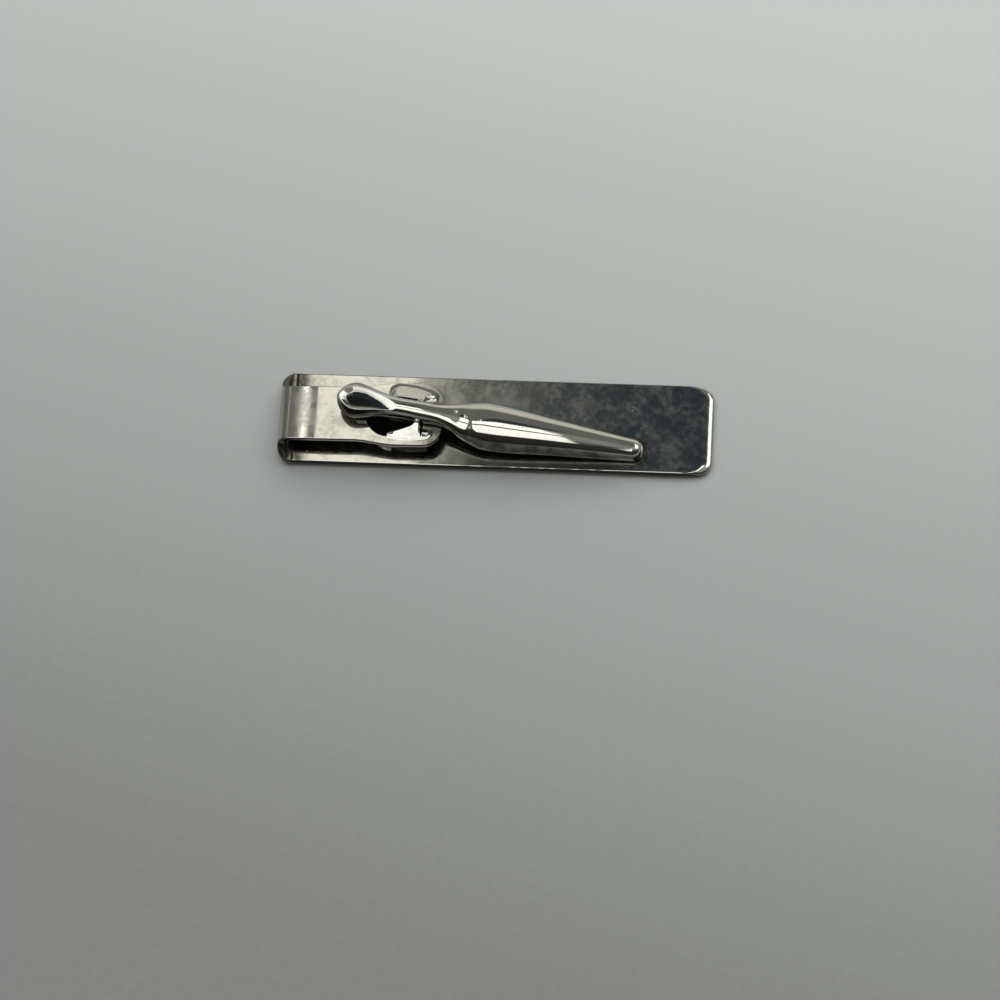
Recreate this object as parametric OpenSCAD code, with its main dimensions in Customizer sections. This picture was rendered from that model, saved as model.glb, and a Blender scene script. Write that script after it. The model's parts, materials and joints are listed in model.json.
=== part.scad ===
// Spring-lever tie clip, lying on its front face with its back up.
// X runs along the bar to its free end, Y across it, and Z up from the front face.
// The origin is the centre of the front face.

/* [Bar] */
// Length of the folded clip, from the fold to the free end
bar_length = 50; // [46:0.5:56]
// Width of the front bar
bar_width = 10.8; // [9.6:0.1:12]
// Thickness of the sheet that the clip is folded from
sheet_t = 0.8; // [0.7:0.05:0.9]
// Radius of the two corners at the free end
corner_r = 1.7; // [0.8:0.1:3]
// Rounding of the sheet's tumbled edges
edge_r = 0.3; // [0.1:0.05:0.34]

/* [Fold and back strap] */
// Height of the folded sheet over both layers
fold_height = 3.6; // [3.2:0.1:4.2]
// Height at which the full-width blank ends on the fold
shoulder_height = 2.1; // [1.6:0.1:2.4]
// Radius of the blank's shoulders on the fold
shoulder_r = 1.9; // [0.8:0.1:2]
// Width of the back strap
strap_width = 6.5; // [6.2:0.1:7]
// Turn of the back strap about the hinge, from the bar's centre line
strap_skew = 0.8; // [0:0.1:2]
// Length of the strap's wider head, which carries the hinge
head_length = 7.8; // [7.4:0.1:9]
// Width of the head
head_width = 7.6; // [7.4:0.1:8.4]
// Radius of the head's corners
head_corner_r = 2.3; // [1.2:0.1:3]

/* [Eye and ears] */
// Length of the eye that the ears are bent up from
eye_length = 7.3; // [6.8:0.1:8]
// Width of the eye
eye_width = 5.5; // [5.1:0.1:5.6]
// Radius of the eye's two corners at the end of the strap
eye_corner_r = 1; // [0.5:0.1:1.6]
// Sheet left between the eye and the end of the strap
bridge = 1.6; // [1.3:0.1:2]
// Radius of the hollow side of each ear's bend
ear_bend_r = 0.85; // [0.7:0.05:1]
// Radius of each ear's tip, round the pin
ear_tip_r = 0.58; // [0.55:0.01:0.65]
// Reach of each ear's foot behind the pin
ear_back = 2.4; // [1.8:0.1:2.6]
// Reach of each ear's foot in front of the pin
ear_front = 0.9; // [0.7:0.05:1]

/* [Hinge] */
// Distance from the end of the strap back to the pin
pin_setback = 2.7; // [2.5:0.1:3]
// Distance of the end of the strap from the bar's fold end
strap_reach = 19.1; // [18.6:0.1:20]
// Offset of the pin across the bar
pin_offset = 0.22; // [0:0.02:0.3]
// Height of the pin's axis above the strap
pin_rise = 1.1; // [1:0.05:1.3]
// Diameter of the pin
pin_d = 0.7; // [0.5:0.05:0.8]
// Turn of the lever and its ears to the near side of the bar
lever_skew = 6.3; // [4:0.1:7]

/* [Lever] */
// Reach of the thumb end behind the pin
tail_length = 9.4; // [9:0.1:10]
// Reach of the nose in front of the pin
nose_length = 25.9; // [24:0.1:28]
// Thickness of the lever's pressed wall
lever_t = 0.45; // [0.35:0.05:0.5]
// Length of the thumb pad
thumb_length = 4.6; // [4.2:0.1:5]
// Width of the thumb pad
thumb_width = 4.2; // [3.6:0.1:4.8]
// Width of the neck between the ears
neck_width = 2.4; // [2.3:0.1:2.6]
// Place of the saddle in front of the pin
saddle_at = 5.2; // [4.8:0.1:5.8]
// Width at the saddle
saddle_width = 4.3; // [3.8:0.1:4.6]
// Place of the lever's widest point in front of the pin
body_at = 7.9; // [7.4:0.1:9]
// Width at the widest point
body_width = 5.6; // [4.8:0.1:6]
// Width where the nose starts to round off
nose_width = 2.6; // [2.2:0.1:3]

/* [Lever heights] */
// Height of the thumb pad's crown above the pin
thumb_top = 1.9; // [1.8:0.05:2.2]
// Height of the thumb pad's rim above the pin
thumb_rim = 0.5; // [0.4:0.05:0.7]
// Height of the neck's crown above the pin
neck_top = 1.2; // [1.15:0.05:1.3]
// Height of the saddle's crown above the pin
saddle_top = 0.25; // [0.1:0.05:0.4]
// Height of the body's crown above the pin
body_top = 0.45; // [0.3:0.05:0.7]
// Drop of the body's skirt below the pin
body_drop = 2.6; // [2.2:0.05:2.8]
// Height of the nose's crown above the bar
nose_height = 2.1; // [1.7:0.05:2.4]

/* [Leaf spring] */
// Thickness of the spring's leaf
spring_t = 0.15; // [0.1:0.01:0.16]
// Width of the spring's leaf
spring_width = 0.7; // [0.5:0.05:0.75]
// Distance from the thumb end back to the tip of the lower leg, which bears on the strap
spring_foot_inset = 2; // [1.6:0.1:2.4]
// Distance from the thumb end back to the tip of the upper leg, which bears under the thumb pad
spring_tip_inset = 3.6; // [3:0.1:4.2]

/* [Clearances] */
// Gap between the neck and each ear
ear_clearance = 0.12; // [0.08:0.01:0.16]
// Gap round the pin in the lever's holes
pin_clearance = 0.05; // [0.03:0.01:0.08]
// Gap round the pin in the ears
ear_hole_clearance = 0.01; // [0.01:0.005:0.02]
// Gap under the neck where it crosses the strap
neck_clearance = 0.25; // [0.2:0.01:0.35]
// Gap between the nose and the bar, with no tie in the clip
nose_clearance = 0.1; // [0.05:0.01:0.15]
// Gap between the spring and the pin and strap that it bears on
spring_clearance = 0.03; // [0.02:0.005:0.04]
// Gap between the upper leg and the thumb pad's crown
spring_pad_gap = 0.15; // [0.12:0.01:0.2]
// Overrun of every cut past the faces it opens
overrun = 0.5; // [0.3:0.1:1]

/* [Hidden] */
$fn = 48;

// Places of the fold, the strap and the pin
fold_r = fold_height / 2;
fold_x = -bar_length / 2 + fold_r;
free_x = bar_length / 2;
strap_z = fold_height - sheet_t;
strap_end_x = -bar_length / 2 + strap_reach;
pin_x = strap_end_x - pin_setback;
pin_z = fold_height + pin_rise;
strap_run = (pin_x - fold_x) / cos(strap_skew);
strap_root_y = -pin_offset - (pin_x - fold_x) * tan(strap_skew);

// Hinge sizes that follow the neck and the pin
pin_r = pin_d / 2;
ear_inner = neck_width / 2 + ear_clearance;
ear_outer = ear_inner + sheet_t;
ear_bend_v = ear_outer + ear_bend_r;
ear_bend_z = ear_bend_r - pin_rise;
eye_r = eye_width / 2;
eye_front = pin_setback - bridge;

// Lever sizes below the pin
neck_rim = neck_clearance - pin_rise;
nose_rim = sheet_t + nose_clearance - pin_z;
nose_top = sheet_t + nose_height - pin_z;
thumb_cap = thumb_length / 2;
nose_cap = nose_width / 2;

// Shares that place the stations between the named ones
waist_share = 0.46;
neck_back_share = 0.24;
neck_front_share = 0.45;
flare_share = 0.74;
flare_width_share = 0.37;
flare_top_share = 0.36;
flare_rim_share = 0.12;
saddle_rim_share = 0.55;
taper_share = 0.47;
taper_width_share = 0.48;
taper_top_share = 0.42;
waist_width_share = 0.24;
waist_top_share = 0.68;
waist_rim_share = 0.72;
neck_back_top_share = 0.42;

// Counts that set how finely the lever is drawn
cap_steps = 5;
run_steps = 28;
arc_steps = 12;
first_cap_angle = 16;
roundness = 2.4;

function mix(a, b, share) = a + (b - a) * share;

// Each station of the lever: place along it, half width, crown and rim
lever_stations = [
    [-tail_length, thumb_width / 2, thumb_top, thumb_rim],
    [-tail_length + thumb_cap, thumb_width / 2, thumb_top, thumb_rim],
    [-tail_length * waist_share, mix(neck_width, thumb_width, waist_width_share) / 2,
        mix(neck_top, thumb_top, waist_top_share), mix(neck_rim, thumb_rim, waist_rim_share)],
    [-tail_length * neck_back_share, neck_width / 2,
        mix(neck_top, thumb_top, neck_back_top_share), neck_rim],
    [0, neck_width / 2, neck_top, neck_rim],
    [saddle_at * neck_front_share, neck_width / 2,
        mix(neck_top, saddle_top, flare_top_share), neck_rim],
    [saddle_at * flare_share, mix(neck_width, saddle_width, flare_width_share) / 2,
        mix(saddle_top, neck_top, flare_top_share), mix(neck_rim, -body_drop, flare_rim_share)],
    [saddle_at, saddle_width / 2, saddle_top, mix(neck_rim, -body_drop, saddle_rim_share)],
    [body_at, body_width / 2, body_top, -body_drop],
    [mix(body_at, nose_length, taper_share), mix(body_width, nose_width, taper_width_share) / 2,
        mix(body_top, nose_top, taper_top_share), mix(-body_drop, nose_rim, taper_share)],
    [nose_length - nose_cap, nose_width / 2, nose_top, nose_rim],
    [nose_length, nose_width / 2, nose_top, nose_rim]
];

// Slope of one column at a station, level at both ends
function station_slope(i, column) =
    i == 0 || i == len(lever_stations) - 1 ? 0 :
    (lever_stations[i + 1][column] - lever_stations[i - 1][column])
        / (lever_stations[i + 1][0] - lever_stations[i - 1][0]);

// The last station that lies at or behind a place
function station_before(u, i = 0) =
    i >= len(lever_stations) - 2 || lever_stations[i + 1][0] > u ? i : station_before(u, i + 1);

// One column at any place, by a cubic through the stations
function station_value(u, column) =
    let (
        i = station_before(u),
        a = lever_stations[i],
        b = lever_stations[i + 1],
        run = b[0] - a[0],
        s = (u - a[0]) / run,
        ma = station_slope(i, column) * run,
        mb = station_slope(i + 1, column) * run
    )
    (2 * s * s * s - 3 * s * s + 1) * a[column] + (s * s * s - 2 * s * s + s) * ma
        + (3 * s * s - 2 * s * s * s) * b[column] + (s * s * s - s * s) * mb;

// Rounding of both ends: 1 along the lever, falling to 0 at its tips
function cap_share(u) =
    let (
        back = (thumb_cap - tail_length - u) / thumb_cap,
        front = (u - nose_length + nose_cap) / nose_cap,
        past = max(back, front, 0)
    )
    sqrt(1 - past * past);

// Places of the rings: close together on the caps, even between them
ring_places = concat(
    [for (i = [0:cap_steps - 1])
        thumb_cap * (1 - cos(mix(first_cap_angle, 90, i / cap_steps))) - tail_length],
    [for (i = [0:run_steps])
        mix(thumb_cap - tail_length, nose_length - nose_cap, i / run_steps)],
    [for (i = [1:cap_steps])
        nose_length - nose_cap * (1 - cos(mix(90, first_cap_angle, i / cap_steps)))]
);

// One arched ring of the lever's skin, set in from the outer skin by a depth
function ring(u, depth) =
    let (
        cap = cap_share(u),
        inner_share = (u + tail_length) / (tail_length + nose_length),
        x = mix(depth - tail_length, nose_length - depth, inner_share),
        half = max(station_value(u, 1) * cap - depth * sqrt(cap), 0),
        rim = station_value(u, 3),
        rise = max((station_value(u, 2) - rim) * cap - depth * sqrt(cap), 0)
    )
    [for (j = [0:arc_steps])
        let (
            a = 180 * j / arc_steps,
            side = cos(a) < 0 ? -1 : 1
        )
        [x, half * side * pow(abs(cos(a)), 2 / roundness), rim + rise * pow(sin(a), 2 / roundness)]
    ];

// Index of a point of a skin: skin 0 is the outer one and skin 1 the inner one
function skin_point(skin, i, j) = (skin * len(ring_places) + i) * (arc_steps + 1) + j;

// Two triangles between four corners, turned the other way for the inner skin
function two_faces(a, b, c, d) = [[a, b, c], [a, c, d]];

module pressed_shell() {
    rings = len(ring_places);
    points = [for (depth = [0, lever_t]) for (u = ring_places) each ring(u, depth)];
    outer = [for (i = [0:rings - 2]) for (j = [0:arc_steps - 1]) each two_faces(
        skin_point(0, i, j), skin_point(0, i + 1, j),
        skin_point(0, i + 1, j + 1), skin_point(0, i, j + 1))];
    inner = [for (i = [0:rings - 2]) for (j = [0:arc_steps - 1]) each two_faces(
        skin_point(1, i, j), skin_point(1, i, j + 1),
        skin_point(1, i + 1, j + 1), skin_point(1, i + 1, j))];
    near_rim = [for (i = [0:rings - 2]) each two_faces(
        skin_point(0, i, arc_steps), skin_point(0, i + 1, arc_steps),
        skin_point(1, i + 1, arc_steps), skin_point(1, i, arc_steps))];
    far_rim = [for (i = [0:rings - 2]) each two_faces(
        skin_point(0, i, 0), skin_point(1, i, 0),
        skin_point(1, i + 1, 0), skin_point(0, i + 1, 0))];
    back_rim = two_faces(
        skin_point(0, 0, 0), skin_point(0, 0, arc_steps),
        skin_point(1, 0, arc_steps), skin_point(1, 0, 0));
    front_rim = two_faces(
        skin_point(0, rings - 1, 0), skin_point(1, rings - 1, 0),
        skin_point(1, rings - 1, arc_steps), skin_point(0, rings - 1, arc_steps));
    outer_ends = [for (j = [1:arc_steps - 1]) each [
        [skin_point(0, 0, 0), skin_point(0, 0, j), skin_point(0, 0, j + 1)],
        [skin_point(0, rings - 1, 0), skin_point(0, rings - 1, j + 1), skin_point(0, rings - 1, j)]
    ]];
    inner_ends = [for (j = [1:arc_steps - 1]) each [
        [skin_point(1, 0, 0), skin_point(1, 0, j + 1), skin_point(1, 0, j)],
        [skin_point(1, rings - 1, 0), skin_point(1, rings - 1, j), skin_point(1, rings - 1, j + 1)]
    ]];
    polyhedron(points,
        concat(outer, inner, near_rim, far_rim, back_rim, front_rim, outer_ends, inner_ends));
}

// Half of a sheet's section, from its centre line to one rounded edge
module rounded_edge_2d(reach) {
    square([reach - edge_r, sheet_t]);
    translate([0, edge_r]) square([reach, sheet_t - 2 * edge_r]);
    for (z = [edge_r, sheet_t - edge_r]) translate([reach - edge_r, z]) circle(edge_r);
}

// A whole section of the sheet, centred across the bar
module sheet_section_2d(width) {
    for (side = [0, 1]) mirror([side, 0]) rounded_edge_2d(width / 2);
}

// An upright rectangle with rounded upper corners, seen along the bar
module shouldered_2d(width, height, r) {
    translate([-width / 2, 0]) square([width, height - r]);
    translate([r - width / 2, 0]) square([width - 2 * r, height]);
    for (side = [-1, 1]) translate([side * (width / 2 - r), height - r]) circle(r);
}

// Draws its children in the strap's own frame, with the hinge at zero
module on_strap() {
    translate([pin_x, -pin_offset, strap_z]) rotate(strap_skew) children();
}

// Draws its children in the lever's frame, on the pin's axis
module on_pin() {
    translate([pin_x, -pin_offset, pin_z]) rotate(-lever_skew) children();
}

// A rod across the lever, centred on the pin's axis
module cross_rod(r, length) {
    rotate([90, 0, 0]) cylinder(r = r, h = length, center = true);
}

module front_bar() {
    straight = free_x - corner_r - fold_x;
    translate([fold_x, 0, 0]) rotate([90, 0, 90]) linear_extrude(straight)
        sheet_section_2d(bar_width);
    translate([free_x - corner_r, bar_width / 2 - corner_r, 0]) rotate([90, 0, 0])
        linear_extrude(bar_width - 2 * corner_r) rounded_edge_2d(corner_r);
    for (side = [0, 1]) mirror([0, side, 0])
        translate([free_x - corner_r, bar_width / 2 - corner_r, 0])
            rotate_extrude(angle = 90) rounded_edge_2d(corner_r);
}

module fold() {
    intersection() {
        translate([fold_x, 0, fold_r]) rotate([90, 0, 0]) difference() {
            cylinder(r = fold_r, h = bar_width, center = true);
            cylinder(r = fold_r - sheet_t, h = bar_width + 2 * overrun, center = true);
            translate([0, -fold_r - overrun, -bar_width / 2 - overrun])
                cube([fold_r + overrun, fold_height + 2 * overrun, bar_width + 2 * overrun]);
        }
        translate([fold_x - fold_r - overrun, 0, 0]) rotate([90, 0, 90])
            linear_extrude(fold_r + 2 * overrun) union() {
                shouldered_2d(bar_width, shoulder_height, shoulder_r);
                translate([strap_root_y - strap_width / 2, 0]) square([strap_width, fold_height]);
            }
    }
}

// The strap's outline: a straight run from the fold and a wider rounded head
module strap_2d() {
    r = head_corner_r;
    head_back = pin_setback - head_length;
    translate([-strap_run, -strap_width / 2])
        square([strap_run + pin_setback - r, strap_width]);
    translate([head_back + r, -head_width / 2]) square([head_length - 2 * r, head_width]);
    translate([head_back, r - head_width / 2]) square([head_length, head_width - 2 * r]);
    for (u = [head_back + r, pin_setback - r], v = [r - head_width / 2, head_width / 2 - r])
        translate([u, v]) circle(r);
}

// The eye's outline: round behind the ears and squarer towards the end of the strap
module eye_2d() {
    r = eye_corner_r;
    translate([eye_front - eye_length + eye_r, 0]) circle(eye_r);
    translate([eye_front - eye_length + eye_r, -eye_r]) square([eye_length - eye_r - r, eye_width]);
    translate([eye_front - 2 * r, r - eye_r]) square([2 * r, eye_width - 2 * r]);
    for (side = [-1, 1]) translate([eye_front - r, side * (eye_r - r)]) circle(r);
}

module back_strap() {
    difference() {
        on_strap() linear_extrude(sheet_t) strap_2d();
        on_strap() translate([0, 0, -overrun]) linear_extrude(sheet_t + 2 * overrun) eye_2d();
    }
}

// Where the side of a tab leaves its round tip, from the tab's foot
function tip_tangent(foot, r, side) =
    let (turn = atan2(foot[1], foot[0]) + side * acos(r / norm(foot)))
    [r * cos(turn), r * sin(turn)];

// The ear's side outline, with the pin's axis at zero
module ear_2d() {
    foot_z = strap_z - pin_z;
    back_foot = [-ear_back, foot_z];
    front_foot = [ear_front, foot_z];
    polygon([back_foot, front_foot, tip_tangent(front_foot, ear_tip_r, 1),
        tip_tangent(back_foot, ear_tip_r, -1)]);
    circle(ear_tip_r);
}

// The sheet curving up from the strap, seen along the lever
module ear_bend_2d() {
    difference() {
        translate([ear_bend_v, ear_bend_z]) circle(ear_bend_r + sheet_t);
        translate([ear_bend_v, ear_bend_z]) circle(ear_bend_r);
        translate([ear_bend_v - ear_bend_r - sheet_t - overrun, ear_bend_z])
            square(2 * (ear_bend_r + sheet_t + overrun));
        translate([ear_bend_v, ear_bend_z - ear_bend_r - sheet_t - overrun])
            square(ear_bend_r + sheet_t + 2 * overrun);
    }
    translate([ear_inner, ear_bend_z]) square([sheet_t, ear_tip_r - ear_bend_z]);
}

module ear() {
    intersection() {
        translate([-ear_back - overrun, 0, 0]) rotate([90, 0, 90])
            linear_extrude(ear_back + ear_front + 2 * overrun) ear_bend_2d();
        rotate([90, 0, 0]) mirror([0, 0, 1]) linear_extrude(ear_bend_v + overrun) ear_2d();
    }
}

module clip_body() {
    color("silver") difference() {
        union() {
            front_bar();
            fold();
            back_strap();
            for (side = [0, 1]) on_pin() mirror([0, side, 0]) ear();
        }
        on_pin() cross_rod(pin_r + ear_hole_clearance, 2 * (ear_outer + overrun));
    }
}

module lever() {
    color("gainsboro") on_pin() difference() {
        pressed_shell();
        cross_rod(pin_r + pin_clearance, neck_width + 2 * overrun);
    }
}

module hinge_pin() {
    color("lightgray") on_pin() cross_rod(pin_r, 2 * ear_outer);
}

// One straight leg of the leaf, from a height over or under the pin to its tip behind it
module leaf_leg_2d(from_z, tip) {
    rise = tip[1] - from_z;
    translate([0, from_z]) rotate(atan2(rise, tip[0])) square([norm([tip[0], rise]), spring_t]);
}

module leaf_spring() {
    wrap_r = pin_r + spring_clearance;
    upper_tip = [spring_tip_inset - tail_length, thumb_top - lever_t - spring_pad_gap];
    lower_tip = [spring_foot_inset - tail_length, spring_clearance + spring_t - pin_rise];
    color("darkgray") on_pin() translate([0, spring_width / 2, 0]) rotate([90, 0, 0])
        linear_extrude(spring_width) union() {
            difference() {
                circle(wrap_r + spring_t);
                circle(wrap_r);
            }
            leaf_leg_2d(wrap_r + spring_t, upper_tip);
            leaf_leg_2d(-wrap_r, lower_tip);
        }
}

clip_body();
lever();
hinge_pin();
leaf_spring();
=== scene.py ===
"""A worn spring-lever tie clip, lying back up on a pale table under soft studio light.

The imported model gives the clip's box, its hinge and its bodies. The folded sheet, the pressed
lever, the pin and the leaf spring are worked out here as smooth surfaces, in millimetres, and put
into metres when they become meshes.
"""

import json
import logging
import math
from dataclasses import dataclass, field
from enum import Enum

import bmesh
import bpy
import numpy as np
from mathutils import Matrix, Vector


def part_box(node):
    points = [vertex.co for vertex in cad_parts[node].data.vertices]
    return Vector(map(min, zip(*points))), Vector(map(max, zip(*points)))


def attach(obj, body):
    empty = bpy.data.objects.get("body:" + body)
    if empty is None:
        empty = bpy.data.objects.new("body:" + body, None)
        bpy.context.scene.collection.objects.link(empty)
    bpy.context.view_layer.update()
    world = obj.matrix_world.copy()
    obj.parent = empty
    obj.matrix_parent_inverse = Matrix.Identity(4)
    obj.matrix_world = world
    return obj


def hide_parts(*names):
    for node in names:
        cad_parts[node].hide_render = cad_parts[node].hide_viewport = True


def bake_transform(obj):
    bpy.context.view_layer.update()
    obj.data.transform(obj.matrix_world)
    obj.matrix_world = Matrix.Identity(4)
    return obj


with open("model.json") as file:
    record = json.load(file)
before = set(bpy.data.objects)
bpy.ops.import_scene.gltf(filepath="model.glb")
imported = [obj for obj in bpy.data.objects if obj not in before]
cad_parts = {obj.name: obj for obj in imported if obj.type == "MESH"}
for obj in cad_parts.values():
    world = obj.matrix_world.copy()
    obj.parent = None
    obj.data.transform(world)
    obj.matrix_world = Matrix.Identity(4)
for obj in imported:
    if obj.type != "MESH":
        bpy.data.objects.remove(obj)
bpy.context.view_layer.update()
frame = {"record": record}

MM = 0.001
MERGE_MM = 0.0005
FOLD_WORN_X = -24.3
FOLD_WORN_RUN = 1.3
LOG = logging.getLogger("tie_clip")

Colour = tuple[float, float, float]
Span = tuple[float, float]


def smooth(low: float, high: float, value: np.ndarray) -> np.ndarray:
    """Rises smoothly from 0 at low to 1 at high, level at both ends.

    Args:
        low: Where the rise starts.
        high: Where the rise ends.
        value: Places to work it out at.

    Returns:
        3 t squared less 2 t cubed, where t runs from 0 to 1 between low and high.
    """
    t = np.clip((value - low) / (high - low), 0.0, 1.0)
    return t * t * (3.0 - 2.0 * t)


def mixed(a: np.ndarray, b: np.ndarray, share: np.ndarray) -> np.ndarray:
    """Goes from a to b as share goes from 0 to 1."""
    return a + (b - a) * share


def resampled(points: np.ndarray, count: int) -> np.ndarray:
    """Spaces points evenly along a line of points.

    Args:
        points: The line, one point a row.
        count: How many points the result has, both ends included.

    Returns:
        The new points, by straight interpolation on the length along the line.
    """
    steps = np.linalg.norm(np.diff(points, axis=0), axis=1)
    along = np.concatenate([[0.0], np.cumsum(steps)])
    wanted = np.linspace(0.0, along[-1], count)
    return np.stack([np.interp(wanted, along, column) for column in points.T], axis=1)


def left_normals(points: np.ndarray, closed: bool) -> np.ndarray:
    """Unit vectors to the left of a flat line's direction at each of its points.

    Args:
        points: The line, two columns.
        closed: Whether the last point runs on to the first.

    Returns:
        One normal a row, from the difference between a point's two neighbours.
    """
    if closed:
        along = np.roll(points, -1, axis=0) - np.roll(points, 1, axis=0)
    else:
        along = np.gradient(points, axis=0)
    along /= np.linalg.norm(along, axis=1, keepdims=True)
    return np.stack([-along[:, 1], along[:, 0]], axis=1)


def rounded(points: np.ndarray, passes: int) -> np.ndarray:
    """Rounds the corners of a closed line by averaging each point with its neighbours."""
    for _ in range(passes):
        points = (np.roll(points, 1, axis=0) + 2.0 * points + np.roll(points, -1, axis=0)) / 4.0
    return points


@dataclass
class Surface:
    """A surface in the making.

    Attributes:
        points: Corners in millimetres, one a row.
        faces: Four corner numbers a row.
        plan: Where each corner lies on the flat metal, in millimetres.
        edge: How near each corner is to a cut edge, from 0 to 1.
        shade_paint: How much painted shade darkens each corner, from 0 to 1.
    """

    points: np.ndarray
    faces: np.ndarray
    plan: np.ndarray
    edge: np.ndarray
    shade_paint: np.ndarray

    @classmethod
    def from_grid(
        cls,
        points: np.ndarray,
        plan: np.ndarray,
        edge: np.ndarray,
        shade_paint: np.ndarray | float = 0.0,
        wrap_columns: bool = False,
    ) -> "Surface":
        """Makes faces between the neighbours of a grid of points.

        Args:
            points: Rows by columns by 3.
            plan: Rows by columns by 2.
            edge: Rows by columns.
            shade_paint: Painted shade, rows by columns, or one value for all.
            wrap_columns: Whether the last column runs on to the first.

        Returns:
            The surface. A face joins corners (i, j), (i, j+1), (i+1, j+1) and (i+1, j).
        """
        rows, columns = points.shape[:2]
        index = np.arange(rows * columns).reshape(rows, columns)
        if wrap_columns:
            index = np.concatenate([index, index[:, :1]], axis=1)
        corners = [index[:-1, :-1], index[:-1, 1:], index[1:, 1:], index[1:, :-1]]
        faces = np.stack([corner.ravel() for corner in corners], axis=1)
        shade_values = np.broadcast_to(shade_paint, edge.shape).ravel()
        return cls(points.reshape(-1, 3), faces, plan.reshape(-1, 2), edge.ravel(), shade_values)

    def with_others(self, *others: "Surface") -> "Surface":
        """Joins this surface and others into one, without merging corners."""
        every = (self, *others)
        starts = np.cumsum([0] + [len(one.points) for one in every[:-1]])
        return Surface(
            np.concatenate([one.points for one in every]),
            np.concatenate([one.faces + start for one, start in zip(every, starts)]),
            np.concatenate([one.plan for one in every]),
            np.concatenate([one.edge for one in every]),
            np.concatenate([one.shade_paint for one in every]),
        )

    def to_object(self, name: str) -> bpy.types.Object:
        """Makes a smooth closed mesh of the surface.

        Args:
            name: Name of the piece.

        Returns:
            An object at the origin whose mesh is in metres, with a UV map called plan and the
            values edge and shelter, the last a painted shade. Corners at one place are merged and
            faces point outwards.
        """
        mesh = bpy.data.meshes.new(name)
        mesh.from_pydata((self.points * MM).tolist(), [], self.faces.tolist())
        # The shelter values are painted shade, which the materials use to darken the colour.
        for label, values in (("edge", self.edge), ("shade_paint", self.shade_paint)):
            kept = mesh.attributes.new(label, "FLOAT", "POINT")
            kept.data.foreach_set("value", values.astype(np.float32))
        corner = np.empty(len(mesh.loops), dtype=np.int32)
        mesh.loops.foreach_get("vertex_index", corner)
        mesh.uv_layers.new(name="plan").data.foreach_set("uv", self.plan[corner].ravel())
        work = bmesh.new()
        work.from_mesh(mesh)
        bmesh.ops.remove_doubles(work, verts=work.verts, dist=MERGE_MM * MM)
        bmesh.ops.dissolve_degenerate(work, edges=work.edges, dist=MERGE_MM * MM / 4.0)
        bmesh.ops.recalc_face_normals(work, faces=work.faces)
        work.to_mesh(mesh)
        work.free()
        mesh.polygons.foreach_set("use_smooth", np.ones(len(mesh.polygons), dtype=bool))
        mesh.update()
        piece = bpy.data.objects.new(name, mesh)
        bpy.context.scene.collection.objects.link(piece)
        return piece


@dataclass(frozen=True)
class HingeFrame:
    """The lever's own axes: u towards the nose, v across to the far side, w up.

    Attributes:
        centre: The pin's middle, in millimetres.
        turn: How far the lever is turned to the near side, in radians.
    """

    centre: np.ndarray
    turn: float

    @classmethod
    def from_record(cls, name: str) -> "HingeFrame":
        """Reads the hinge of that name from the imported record."""
        joint = next(one for one in frame["record"]["behaviour"]["joints"] if one["name"] == name)
        axis = joint["axis"]
        return cls(np.array(joint["pos_m"]) / MM, math.atan2(-axis[0], -axis[1]))

    def to_clip(self, local: np.ndarray) -> np.ndarray:
        """Turns (u, v, w) into the clip's x, y and z."""
        c, s = math.cos(self.turn), math.sin(self.turn)
        u, v, w = np.moveaxis(local, -1, 0)
        return np.stack([u * c + v * s, v * c - u * s, w], axis=-1) + self.centre

    def to_lever(self, place: np.ndarray) -> np.ndarray:
        """Turns the clip's x, y and z into (u, v, w)."""
        c, s = math.cos(self.turn), math.sin(self.turn)
        x, y, z = np.moveaxis(place - self.centre, -1, 0)
        return np.stack([x * c - y * s, x * s + y * c, z], axis=-1)


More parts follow.
